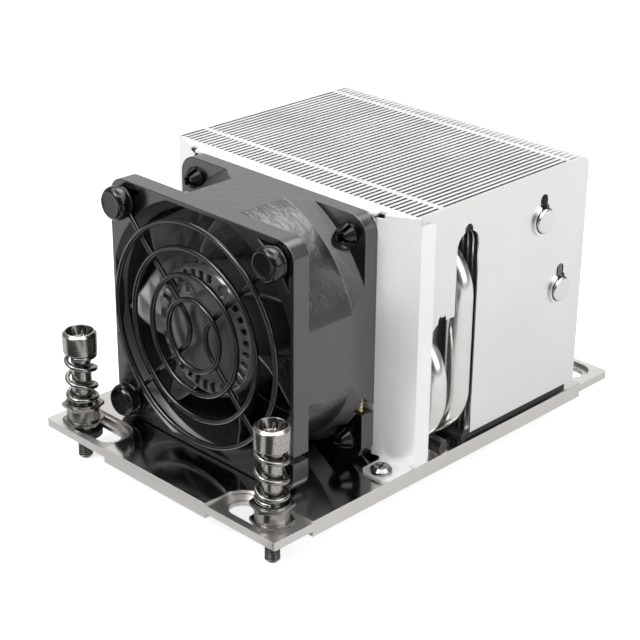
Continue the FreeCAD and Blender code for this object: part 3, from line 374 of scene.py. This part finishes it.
# grain, mottle and scale are a noise's scale and depth is how strong its relief is; edge, below, beyond,
# halfWidth, flange and seamEdge are metres, and seam is degrees
finishes = {
    "nickelPlate": {"color": (0.64, 0.625, 0.605), "metallic": 1.0, "roughness": (0.07, 0.13),
                    "edge": 0.00015, "grain": 3500, "grainDepth": 0.10,
                    "lines": {"stretch": (40, 1, 1), "scale": 60, "depth": 0.05},
                    "milled": {"below": 0.0035, "roughness": 0.26}},
    # painted shade: the solder's colour is darkened, standing in for the deep shade it lies in between plate
    # and fins
    "solder": {"color": (0.13, 0.128, 0.125), "metallic": 1.0, "roughness": (0.35, 0.5),
               "edge": 0.0002, "grain": 2500, "grainDepth": 0.35},
    "pipeNickel": {"color": (0.70, 0.69, 0.675), "metallic": 1.0, "roughness": (0.14, 0.26),
                   "edge": 0, "grain": 1800, "grainDepth": 0.12, "mottle": 140},
    "finSheet": {"color": (0.85, 0.85, 0.845), "metallic": 1.0, "roughness": (0.29, 0.38),
                 "edge": 0, "grain": 3000, "grainDepth": 0.10,
                 "lines": {"stretch": (1, 1, 30), "scale": 50, "depth": 0.03}},
    # painted shade: a dimmer copy of finSheet for the end fins, holding down their lit outer faces
    "endFinSheet": {"color": (0.75, 0.745, 0.735), "metallic": 1.0, "roughness": (0.29, 0.38),
                    "edge": 0, "grain": 3000, "grainDepth": 0.10,
                    "lines": {"stretch": (1, 1, 30), "scale": 50, "depth": 0.03}},
    "shroudSheet": {"color": (0.91, 0.905, 0.895), "metallic": 0.35, "roughness": (0.29, 0.36),
                    "edge": 0.0002, "grain": 3000, "grainDepth": 0.12,
                    "lines": {"stretch": (1, 1, 30), "scale": 50, "depth": 0.04}},
    "nickelSteel": {"color": (0.40, 0.385, 0.36), "metallic": 1.0, "roughness": (0.17, 0.26),
                    "edge": 0.0002, "grain": 3000, "grainDepth": 0.3, "speckle": 0.22},
    # painted shade: the next two finishes are darker copies of nickelSteel, for the shade on the thread under
    # the plate and in the socket's recess
    "threadSteel": {"color": (0.17, 0.165, 0.155), "metallic": 1.0, "roughness": (0.29, 0.36),
                    "edge": 0, "grain": 3200, "grainDepth": 0.3},
    "socketSteel": {"color": (0.15, 0.145, 0.135), "metallic": 1.0, "roughness": (0.12, 0.2),
                    "edge": 0, "grain": 3200, "grainDepth": 0.3},
    "bushSteel": {"color": (0.30, 0.29, 0.275), "metallic": 1.0, "roughness": (0.14, 0.24),
                  "edge": 0.0002, "grain": 3200, "grainDepth": 0.2},
    "panSteel": {"color": (0.27, 0.265, 0.26), "metallic": 1.0, "roughness": (0.12, 0.2),
                 "edge": 0.0002, "grain": 3200, "grainDepth": 0.2},
    "springSteel": {"color": (0.27, 0.262, 0.25), "metallic": 1.0, "roughness": (0.16, 0.25),
                    "edge": 0, "grain": 4000, "grainDepth": 0.12},
    "bearingSteel": {"color": (0.56, 0.56, 0.57), "metallic": 1.0, "roughness": (0.25, 0.4),
                     "edge": 0, "grain": 3000, "grainDepth": 0.15},
    "framePlastic": {"color": (0.019, 0.019, 0.021), "metallic": 0.0, "roughness": (0.15, 0.25),
                     "edge": 0.0004, "index": 1.88, "grain": 5200, "grainDepth": 0.12, "mottle": 110,
                     "dust": 0.12,
                     # front: its shade value darkens the colour of faces turned to the front, which is
                     # painted shade; mouth dulls the duct's rounded mouth
                     "front": {"shade": 0.15, "shadeStops": (0.5, 0.95),
                               "mouth": 0.24, "mouthStops": (0.2, 0.35, 0.85, 0.97)},
                     "mould": {"scale": 480, "depth": 0.38, "halfWidth": 0.0288, "flange": 0.0045,
                               "seam": 40.8, "seamEdge": (0.00008, 0.00024)}},
    "rotorPlastic": {"color": (0.066, 0.066, 0.068), "metallic": 0.0, "roughness": (0.13, 0.22),
                     "edge": 0.0008, "index": 1.8, "grain": 5200, "grainDepth": 0.06,
                     "blades": {"beyond": 0.0165, "roughness": 0.2}},
    "rivetPlastic": {"color": (0.006, 0.006, 0.006), "metallic": 0.0, "roughness": (0.10, 0.16),
                     "edge": 0.0002, "index": 1.5, "grain": 4000, "grainDepth": 0.06},
    "guardEnamel": {"color": (0.006, 0.006, 0.006), "metallic": 0.0, "roughness": (0.12, 0.20),
                    "edge": 0, "index": 1.58, "grain": 2600, "grainDepth": 0.10},
    "ringRubber": {"color": (0.015, 0.015, 0.015), "metallic": 0.0, "roughness": (0.5, 0.65),
                   "edge": 0.0001, "grain": 4000, "grainDepth": 0.2},
    "windingCopper": {"color": (0.85, 0.16, 0.12), "metallic": 0.1, "roughness": (0.2, 0.35),
                      "edge": 0, "grain": 3000, "grainDepth": 0.1,
                      "lines": {"stretch": (1, 60, 1), "scale": 80, "depth": 0.6}},
    "board": {"color": (0.03, 0.12, 0.05), "metallic": 0.0, "roughness": (0.3, 0.45),
              "edge": 0, "grain": 2500, "grainDepth": 0.1},
    "leadInsulation": {"color": (0.62, 0.60, 0.26), "metallic": 0.0, "roughness": (0.35, 0.5),
                       "edge": 0, "grain": 3000, "grainDepth": 0.1},
    "magnetRubber": {"color": (0.04, 0.04, 0.04), "metallic": 0.0, "roughness": (0.5, 0.6),
                     "edge": 0, "grain": 3000, "grainDepth": 0.2},
}

# pieces whose finish isn't the one that their slot is named for; the end fins' dimmer copy of the fin sheet
# is painted shade on their lit outer faces
nodeFinish = {"end_fin_right": "endFinSheet", "end_fin_left": "endFinSheet", "screw_bushes": "bushSteel",
              "shroud_foot_screws": "panSteel"}

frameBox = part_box("fan_frame")
fanHeight = (frameBox[0].z + frameBox[1].z) / 2


def slotFinish(slot):
    # fin_sheet is finished in finSheet
    first, *others = slot.split("_")
    return first + "".join(word.title() for word in others)


def tinted(tree, color, share):
    mix = addNode(tree, "Mix", prop_data_type="RGBA", prop_blend_type="MULTIPLY", Factor=1.0, A=color,
                  B=share)
    return mix.outputs["Result"]


def forward(tree):
    # 1 on faces turned to the front, 0 on sides
    normal = addNode(tree, "NewGeometry").outputs["True Normal"]
    return times(tree, along(tree, "Y", normal), -1.0)


def fromFanAxis(tree, place):
    return along(tree, "X", place), mathNode(tree, "SUBTRACT", along(tree, "Z", place), fanHeight)


def finishColor(tree, look, place, grain):
    # slow mottling lighter and darker than the base colour, then spots, dust and the painted shade on faces
    # turned to the front
    base = np.array(look["color"])
    spread = skinSettings["metalSpread"] if look["metallic"] else skinSettings["plasticSpread"]
    low, high = skinSettings["mottleStops"]
    color = rampNode(tree, grain["Mottle"], [(low, base * (1 - spread)),
                                             (high, np.minimum(base * (1 + spread), 1))])
    if "speckle" in look:
        # tumbled parts are covered in fine dark and light spots
        low, high = skinSettings["speckleStops"]
        spots = rampNode(tree, grain["Grain"], [(low, 1 - look["speckle"]), (high, 1 + look["speckle"])])
        color = tinted(tree, color, spots)
    if "dust" in look:
        dust = addNode(tree, "Group", prop_node_tree=dustGroup, Vector=place, Amount=look["dust"])
        color = addNode(tree, "Mix", prop_data_type="RGBA", Factor=dust, A=color,
                        B=(*skinSettings["dustColor"], 1)).outputs["Result"]
    if "front" in look:
        # painted shade: faces turned to the front get a darker colour, standing in for the shade they lie in
        sides, face = look["front"]["shadeStops"]
        shade = rampNode(tree, forward(tree), [(sides, 1), (face, look["front"]["shade"])])
        color = tinted(tree, color, shade)
    return color


def finishRoughness(tree, look, place, grain):
    # follows the mottling, with duller regions added
    roughness = rampNode(tree, grain["Mottle"], list(zip(skinSettings["mottleStops"], look["roughness"])))
    if "milled" in look:
        # the milled ears lie below the plate's face and are less polished
        below = mathNode(tree, "LESS_THAN", along(tree, "Z", place), look["milled"]["below"])
        roughness = plus(tree, roughness, times(tree, below, look["milled"]["roughness"]))
    if "blades" in look:
        # the blades are duller than the hub
        side, lift = fromFanAxis(tree, place)
        away = mathNode(tree, "SQRT", plus(tree, times(tree, side, side), times(tree, lift, lift)))
        onBlade = mathNode(tree, "GREATER_THAN", away, look["blades"]["beyond"])
        roughness = plus(tree, roughness, times(tree, onBlade, look["blades"]["roughness"]))
    if "front" in look:
        # the rounded mouth of the duct, between the front face and the sides, is duller
        mouth = look["front"]["mouth"]
        dull = rampNode(tree, forward(tree), list(zip(look["front"]["mouthStops"], (0, mouth, mouth, 0))))
        roughness = plus(tree, roughness, dull)
    return roughness


def mouldHeight(tree, mould, place):
    # the mould's uneven skin between the flanges: hollows a few millimetres wide, and the parting line,
    # which is a fine ridge on a plane through the fan's axis
    hollows = addNode(tree, "TexNoise", Vector=place, Scale=mould["scale"], **skinSettings["mouldNoise"])
    side, lift = fromFanAxis(tree, place)
    depth = along(tree, "Y", place)
    within = times(tree, mathNode(tree, "LESS_THAN", mathNode(tree, "ABSOLUTE", side), mould["halfWidth"]),
                   between(tree, depth, frameBox[0].y + mould["flange"], frameBox[1].y - mould["flange"]))
    turn = math.radians(mould["seam"])
    across = mathNode(tree, "SUBTRACT", times(tree, lift, math.cos(turn)), times(tree, side, math.sin(turn)))
    near, far = mould["seamEdge"]
    ridge = rampNode(tree, mathNode(tree, "ABSOLUTE", across), [(near, 1), (far, 0)])
    return plus(tree, times(tree, hollows, within), times(tree, ridge, within))


def finishRelief(tree, look, place, grain):
    # rounded edges first, then drawn lines, the mould's skin and the grain, each laid on the one before
    layers = []
    if "lines" in look:
        lines = addNode(tree, "Group", prop_node_tree=lineGroup, Vector=place,
                        Stretch=look["lines"]["stretch"], Scale=look["lines"]["scale"])
        layers.append((lines, look["lines"]["depth"], skinSettings["lineHeight"]))
    if "mould" in look:
        height = mouldHeight(tree, look["mould"], place)
        layers.append((height, look["mould"]["depth"], skinSettings["mouldHeight"]))
    layers.append((grain["Grain"], look["grainDepth"], skinSettings["grainHeight"]))
    normal = None
    if look["edge"]:
        normal = addNode(tree, "Bevel", prop_samples=skinSettings["edgeSamples"], Radius=look["edge"])
    for height, strength, distance in layers:
        relief = addNode(tree, "Bump", Height=height, Strength=strength, Distance=distance)
        if normal:
            feed(tree, normal, relief.inputs["Normal"])
        normal = relief
    return normal


def makeFinish(name, look):
    material = bpy.data.materials.new(name)
    material.use_nodes = True
    tree = material.node_tree
    shader = tree.nodes["Principled BSDF"].inputs
    shader["Metallic"].default_value = look["metallic"]
    if "index" in look:
        shader["IOR"].default_value = look["index"]
    place = addNode(tree, "TexCoord").outputs["Object"]
    grain = addNode(tree, "Group", prop_node_tree=grainGroup, Vector=place, Grain_Scale=look["grain"],
                    Mottle_Scale=look.get("mottle", skinSettings["mottle"])).outputs
    feed(tree, finishColor(tree, look, place, grain), shader["Base Color"])
    feed(tree, finishRoughness(tree, look, place, grain), shader["Roughness"])
    feed(tree, finishRelief(tree, look, place, grain), shader["Normal"])
    return material


materials = {name: makeFinish(name, look) for name, look in finishes.items()}
for part in frame["record"]["subparts"]:
    finish = nodeFinish.get(part["node"], slotFinish(part["material_slot"]))
    mesh = nodes[part["node"]].data
    mesh.materials.clear()
    mesh.materials.append(materials[finish])
print("finishes ready:", len(materials))


def roundCorners(points, cut, steps=4, most=0.45):
    # every corner of the outline is cut back by one length, or by the share that is the most of a short side,
    # and bridged by a quadratic curve
    points = np.array(points, float)
    share = np.linspace(0, 1, steps + 1)[:, None]
    rounded = [points[:1]]
    for before, corner, after in zip(points, points[1:], points[2:]):
        back, onward = before - corner, after - corner
        backLength, onwardLength = np.linalg.norm(back), np.linalg.norm(onward)
        reach = min(cut, most * backLength, most * onwardLength)
        start, end = corner + back / backLength * reach, corner + onward / onwardLength * reach
        rounded.append((1 - share) ** 2 * start + 2 * share * (1 - share) * corner + share ** 2 * end)
    return np.concatenate(rounded + [points[-1:]])


def ringSurface(name, rings):
    # a grid of points, rings by steps round them; the first and the last ring are one point each and close it
    count, around = rings.shape[:2]
    points = np.concatenate([rings[0, :1], rings[1:-1].reshape(-1, 3), rings[-1, :1]])
    here = np.arange(around)
    onward = (here + 1) % around
    starts = 1 + around * np.arange(count - 2)
    low, high, final = starts[:-1, None], starts[1:, None], starts[-1]
    walls = np.stack([low + here, low + onward, high + onward, high + here], axis=-1).reshape(-1, 4)
    firstFan = np.stack([0 * here, 1 + onward, 1 + here], axis=-1)
    lastFan = np.stack([final + here, final + onward, final + around + 0 * here], axis=-1)
    faces = firstFan.tolist() + walls.tolist() + lastFan.tolist()
    # the sum of the corner volumes tells which way the faces turn
    triangles = np.concatenate([firstFan, walls[:, [0, 1, 2]], walls[:, [0, 2, 3]], lastFan])
    first, second, third = (points[triangles[:, k]] for k in range(3))
    if np.sum(first * np.cross(second, third)) < 0:
        faces = [face[::-1] for face in faces]
    mesh = bpy.data.meshes.new(name)
    mesh.from_pydata(points.tolist(), [], faces)
    mesh.polygons.foreach_set("use_smooth", [True] * len(faces))
    mesh.update()
    return mesh


def addPiece(name, mesh, slot, body, replaced):
    piece = bpy.data.objects.new(name, mesh)
    bpy.context.scene.collection.objects.link(piece)
    mesh.materials.append(materials[slotFinish(slot)])
    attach(piece, body)
    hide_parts(replaced)
    return piece


corners = ("front_right", "front_left", "rear_right", "rear_left")


# lengths in metres; the thread's top and the groove are counted from under the head, the socket from its top
screwSettings = {
    "around": 96,
    "headRadius": 0.0041, "headHeight": 0.0055, "headChamfer": 0.0004, "rim": (0.0006, 0.0007),
    "lip": 0.00025, "soft": 0.00012,
    "shankRadius": 0.0024, "groove": (-0.0224, -0.0219), "grooveDepth": 0.00045,
    "point": (0.0006, 0.0007),
    "threadRadius": 0.00175, "threadDepth": 0.00044, "threadPitch": 0.0006, "threadTop": -0.0231,
    "threadSteps": 72, "threadFade": 12, "threadEdge": 0.0001,
    "funnelFrom": 0.0009, "funnelTo": 0.0019, "funnelDepth": 0.0022, "funnelSteps": 14, "funnelLobes": 0.15,
    "socketRadius": 0.0017, "socketFrom": 0.0024, "socketTo": 0.004,
    "floorRadius": 0.0012, "floorDepth": 0.0041,
    "lobes": 6, "lobeDepth": 0.00042,
}


def outlineRows(points, threaded=0.0, lobed=0.0):
    # an outline's rows: radius, height, and how far the thread and the lobes reach there
    radius, height = np.transpose(points)
    return np.stack([radius, height, threaded + 0 * radius, lobed + 0 * radius], axis=-1)


def screwRows(look, tip, top):
    head, shank, thread = look["headRadius"], look["shankRadius"], look["threadRadius"]
    under = top - look["headHeight"]
    threadTop = under + look["threadTop"]
    grooveLow, grooveHigh = (under + lift for lift in look["groove"])
    groove = shank - look["grooveDepth"]
    pointWide, pointTall = look["point"]
    point = [(0, tip), (thread - pointWide, tip), (thread, tip + pointTall)]
    share = np.linspace(0, 1, look["threadSteps"] + 1)
    cut = np.stack([thread + 0 * share, tip + pointTall + (threadTop - tip - pointTall) * share], axis=-1)
    fade = np.minimum(1, look["threadFade"] * np.minimum(share, 1 - share))
    rimWide, rimTall = look["rim"]
    upper = [(thread, threadTop), (shank, threadTop), (shank, grooveLow), (groove, grooveLow),
             (groove, grooveHigh), (shank, grooveHigh), (shank, under), (head - look["headChamfer"], under),
             (head, under + look["headChamfer"]), (head, top - rimTall), (head - rimWide, top),
             (head - rimWide - look["lip"], top)]
    share = np.linspace(0, 1, look["funnelSteps"])
    funnel = np.stack([head - look["funnelFrom"] - (look["funnelTo"] - look["funnelFrom"]) * share,
                       top - look["funnelDepth"] * share], axis=-1)
    opening = look["funnelLobes"] + (1 - look["funnelLobes"]) * share
    bore = look["socketRadius"]
    socket = [(bore, top - look["socketFrom"]), (bore, top - look["socketTo"]),
              (look["floorRadius"], top - look["floorDepth"])]
    rows = [outlineRows(point), outlineRows(cut, threaded=fade),
            outlineRows(roundCorners(upper, look["soft"])[1:-1]), outlineRows(funnel, lobed=opening),
            outlineRows(socket, lobed=1.0), outlineRows([(0, top - look["floorDepth"])])]
    return np.concatenate(rows)


def screwRings(look, centre, rows):
    # the outline turned about the axis; the thread pulls the radius in along a helix, and in the socket the
    # lobes push it out
    angle = np.linspace(0, 2 * np.pi, look["around"], endpoint=False)
    radius, height, threaded, lobed = (rows[:, k][:, None] for k in range(4))
    phase = (height / look["threadPitch"] - angle / (2 * np.pi)) % 1
    radius = radius - threaded * look["threadDepth"] * np.abs(2 * phase - 1)
    radius = radius + lobed * look["lobeDepth"] * np.maximum(np.cos(look["lobes"] * angle), 0) ** 2
    return np.stack([centre.x + radius * np.cos(angle), centre.y + radius * np.sin(angle),
                     height + 0 * angle], axis=-1)


for corner in corners:
    node = "screw_" + corner
    low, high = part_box(node)
    rows = screwRows(screwSettings, low.z, high.z)
    mesh = ringSurface("turned_" + node, screwRings(screwSettings, (low + high) / 2, rows))
    addPiece("turned_" + node, mesh, "nickel_steel", nodes[node]["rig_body"], node)
    # painted shade: the thread under the plate and the socket's recess take darker copies of the steel,
    # standing in for the shade that falls there
    mesh.materials.append(materials["threadSteel"])
    mesh.materials.append(materials["socketSteel"])
    threadTop = high.z - screwSettings["headHeight"] + screwSettings["threadTop"]
    onThread = rows[:, 1] < threadTop - screwSettings["threadEdge"]
    zones = np.where(onThread, 1, np.where(rows[:, 3] > 0, 2, 0))
    mesh.polygons.foreach_set("material_index", np.repeat(zones[:-1], screwSettings["around"]))
print("screws ready")


# lengths in metres, turn in degrees; closedPitch counts in wire radii, travel is how far a screw goes down
springSettings = {
    "radius": 0.0034, "wireRadius": 0.00058, "closedTurns": 1.0, "openTurns": 2.3, "endTurns": 0.5,
    "closedPitch": 2.08, "solidSides": 6, "stepsPerTurn": 48, "around": 16, "travel": 0.005,
    "turn": {"front_right": -48, "front_left": 224, "rear_right": 130, "rear_left": 20},
}


def springRings(look, centre, low, high, turn):
    # a circle carried along a left-hand helix, which rises by little more than the wire a turn where it is
    # closed, fast where it is open, and not at the end; each end closes in a point
    wire = look["wireRadius"]
    opens = look["closedTurns"]
    ends = opens + look["openTurns"]
    total = ends + look["endTurns"]
    turns = np.linspace(0, total, int(total * look["stepsPerTurn"]) + 1)
    bottom, top = low + wire, high - wire
    height = np.interp(turns, [0, opens, ends, total],
                       [bottom, bottom + look["closedPitch"] * wire * opens, top, top])
    angle = math.radians(turn) - 2 * np.pi * turns
    outward = np.stack([np.cos(angle), np.sin(angle), 0 * angle], axis=-1)
    path = np.array([centre.x, centre.y, 0]) + outward * look["radius"]
    path[:, 2] = height
    spin = np.linspace(0, 2 * np.pi, look["around"], endpoint=False)[:, None]
    circles = path[:, None] + wire * (np.cos(spin) * outward[:, None] + np.sin(spin) * np.array([0, 0, 1]))
    points = path[:, None] + 0 * circles
    return np.concatenate([points[:1], circles, points[-1:]])


for corner in corners:
    node = "spring_" + corner
    low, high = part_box("screw_" + corner)
    centre = (low + high) / 2
    low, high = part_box(node)
    # the solid's wire has flat sides above and below, so the round wire stands past its box by what they lack
    spare = springSettings["wireRadius"] * (1 - math.cos(math.pi / springSettings["solidSides"]))
    rings = springRings(springSettings, centre, low.z - spare, high.z + spare, springSettings["turn"][corner])
    piece = addPiece("wound_" + node, ringSurface("wound_" + node, rings), "spring_steel",
                     nodes[node]["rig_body"], node)
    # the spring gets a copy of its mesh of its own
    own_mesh(piece)
print("springs ready")


# lengths in metres; dishRadius, crown and shoulder are shares of the head's radius and height
rivetSettings = {
    "around": 64, "headRadius": 0.00405, "headHeight": 0.003, "shankRadius": 0.00205, "soft": 0.0007,
    "softSteps": 6, "dish": 0.00012, "dishRadius": 0.55, "crown": 0.8, "shoulder": (0.97, 0.3),
    "sideFrom": 0.6, "point": (0.0005, 0.001),
}


def rivetRings(look, centre, front, rear):
    # a button head toward the front with a soft rim and a faint dish, and a blunt shank behind, turned round
    head, tall, shank, length = look["headRadius"], look["headHeight"], look["shankRadius"], rear - front
    shoulderWide, shoulderTall = look["shoulder"]
    pointWide, pointTall = look["point"]
    outline = [(0, look["dish"]), (head * look["dishRadius"], look["dish"]), (head * look["crown"], 0),
               (head * shoulderWide, tall * shoulderTall), (head, tall * look["sideFrom"]), (head, tall),
               (shank, tall), (shank, length - pointTall), (shank - pointWide, length), (0, length)]
    outline = roundCorners(outline, look["soft"], look["softSteps"])
    angle = np.linspace(0, 2 * np.pi, look["around"], endpoint=False)
    radius, depth = outline[:, 0][:, None], outline[:, 1][:, None]
    return np.stack([centre[0] + radius * np.cos(angle), front + depth + 0 * angle,
                     centre[1] + radius * np.sin(angle)], axis=-1)


low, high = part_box("guard_rivets")
reach = (high.x - low.x) / 2 - rivetSettings["headRadius"]
for side, sideName in ((1, "right"), (-1, "left")):
    for lift, liftName in ((1, "upper"), (-1, "lower")):
        name = "rivet_" + liftName + "_" + sideName
        centre = ((low.x + high.x) / 2 + side * reach, (low.z + high.z) / 2 + lift * reach)
        rings = rivetRings(rivetSettings, centre, low.y, high.y)
        addPiece(name, ringSurface(name, rings), "rivet_plastic", "cooler", "guard_rivets")
print("rivets ready")


print("done")
